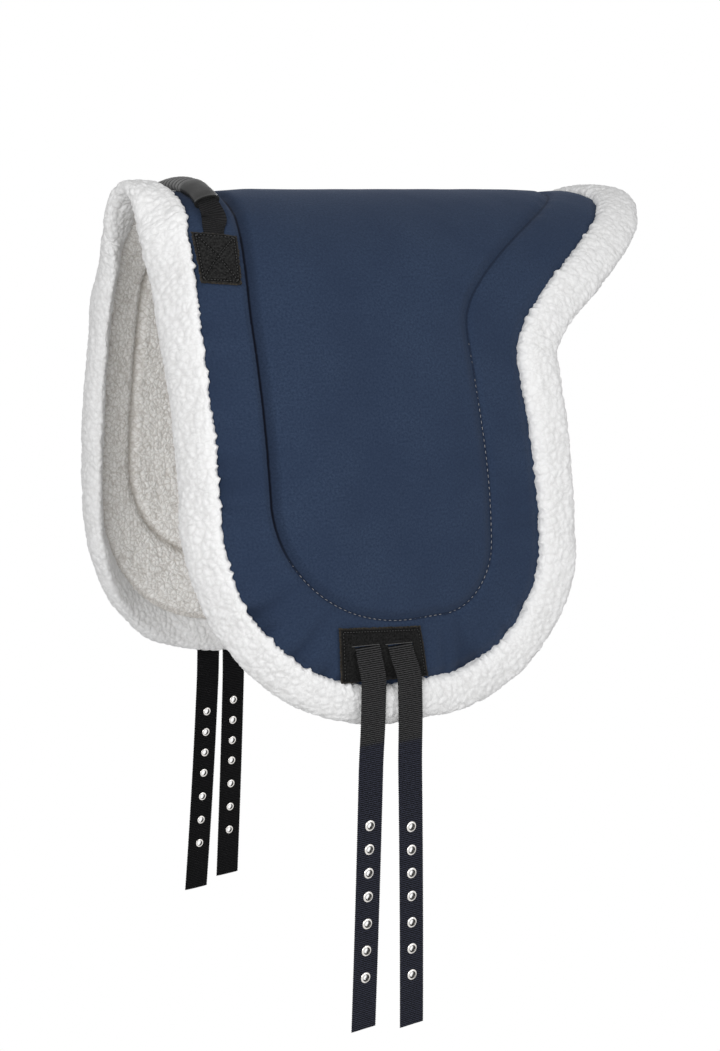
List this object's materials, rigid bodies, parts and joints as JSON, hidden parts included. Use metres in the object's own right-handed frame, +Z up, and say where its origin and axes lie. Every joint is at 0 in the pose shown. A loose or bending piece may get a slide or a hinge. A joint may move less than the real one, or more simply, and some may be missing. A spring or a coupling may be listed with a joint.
{
  "type": "bareback pad",
  "caption": "Quilted bareback riding pad with fleece lining and border, rubber-gripped front handle and eyeleted girth straps hanging from both flaps.",
  "frame": {"origin": "underside of the pad on its spine, at the middle of the pad's length; the horse's back holds it up there", "axes": "+X towards the horse's tail, -X towards its head, +Y towards the far flap, -Y towards the near flap, +Z up"},
  "size_m": [0.641, 0.4012, 0.8998],
  "materials": {
    "suede": "matt faux suede",
    "foam": "closed-cell foam padding",
    "lining": "curly fleece",
    "fleece": "deep curly fleece",
    "patch": "matt synthetic leather",
    "webbing": "woven webbing",
    "rubber": "satin",
    "nickel": "polished nickel"
  },
  "bodies": {
    "seat": {"seat_cover": "suede", "seat_foam": "foam", "seat_lining": "lining", "front_arch_roll": "fleece", "rear_arch_roll": "fleece", "near_handle_patch": "patch", "far_handle_patch": "patch", "near_handle_tail": "webbing", "far_handle_tail": "webbing"},
    "handle": {"handle_grip": "rubber", "near_handle_sleeve": "rubber", "far_handle_sleeve": "rubber", "handle_webbing": "webbing"},
    "near_flap": {"near_flap_cover": "suede", "near_flap_foam": "foam", "near_flap_lining": "lining", "near_flap_roll": "fleece", "near_girth_patch": "patch", "tail_near_front": "webbing", "tail_near_rear": "webbing"},
    "far_flap": {"far_flap_cover": "suede", "far_flap_foam": "foam", "far_flap_lining": "lining", "far_flap_roll": "fleece", "far_girth_patch": "patch", "tail_far_front": "webbing", "tail_far_rear": "webbing"},
    "strap_near_front": {"strap_near_front": "webbing", "eyelet_near_front_1": "nickel", "eyelet_near_front_2": "nickel", "eyelet_near_front_3": "nickel", "eyelet_near_front_4": "nickel", "eyelet_near_front_5": "nickel", "eyelet_near_front_6": "nickel", "eyelet_near_front_7": "nickel"},
    "strap_near_rear": {"strap_near_rear": "webbing", "eyelet_near_rear_1": "nickel", "eyelet_near_rear_2": "nickel", "eyelet_near_rear_3": "nickel", "eyelet_near_rear_4": "nickel", "eyelet_near_rear_5": "nickel", "eyelet_near_rear_6": "nickel", "eyelet_near_rear_7": "nickel"},
    "strap_far_front": {"strap_far_front": "webbing", "eyelet_far_front_1": "nickel", "eyelet_far_front_2": "nickel", "eyelet_far_front_3": "nickel", "eyelet_far_front_4": "nickel", "eyelet_far_front_5": "nickel", "eyelet_far_front_6": "nickel", "eyelet_far_front_7": "nickel"},
    "strap_far_rear": {"strap_far_rear": "webbing", "eyelet_far_rear_1": "nickel", "eyelet_far_rear_2": "nickel", "eyelet_far_rear_3": "nickel", "eyelet_far_rear_4": "nickel", "eyelet_far_rear_5": "nickel", "eyelet_far_rear_6": "nickel", "eyelet_far_rear_7": "nickel"}
  },
  "joints": [
    {"name": "near_flap_lift", "type": "hinge", "parent": "seat", "child": "near_flap", "pos_m": [0, -0.1534, -0.08545], "axis": [-1, 0, 0], "range_deg": [0, 75]},
    {"name": "far_flap_lift", "type": "hinge", "parent": "seat", "child": "far_flap", "pos_m": [0, 0.1534, -0.08545], "axis": [1, 0, 0], "range_deg": [0, 75]},
    {"name": "handle_swing", "type": "hinge", "parent": "seat", "child": "handle", "pos_m": [-0.2615, 0, -0.00944], "axis": [0, 1, 0], "range_deg": [-15, 0]},
    {"name": "strap_near_front_swing", "type": "hinge", "parent": "near_flap", "child": "strap_near_front", "pos_m": [-0.137, -0.19536, -0.43186], "axis": [-1, 0, 0], "range_deg": [0, 110]},
    {"name": "strap_near_rear_swing", "type": "hinge", "parent": "near_flap", "child": "strap_near_rear", "pos_m": [-0.097, -0.19519, -0.43587], "axis": [-1, 0, 0], "range_deg": [0, 110]},
    {"name": "strap_far_front_swing", "type": "hinge", "parent": "far_flap", "child": "strap_far_front", "pos_m": [-0.116, 0.19536, -0.43186], "axis": [1, 0, 0], "range_deg": [0, 110]},
    {"name": "strap_far_rear_swing", "type": "hinge", "parent": "far_flap", "child": "strap_far_rear", "pos_m": [-0.076, 0.19519, -0.43587], "axis": [1, 0, 0], "range_deg": [0, 110]}
  ]
}
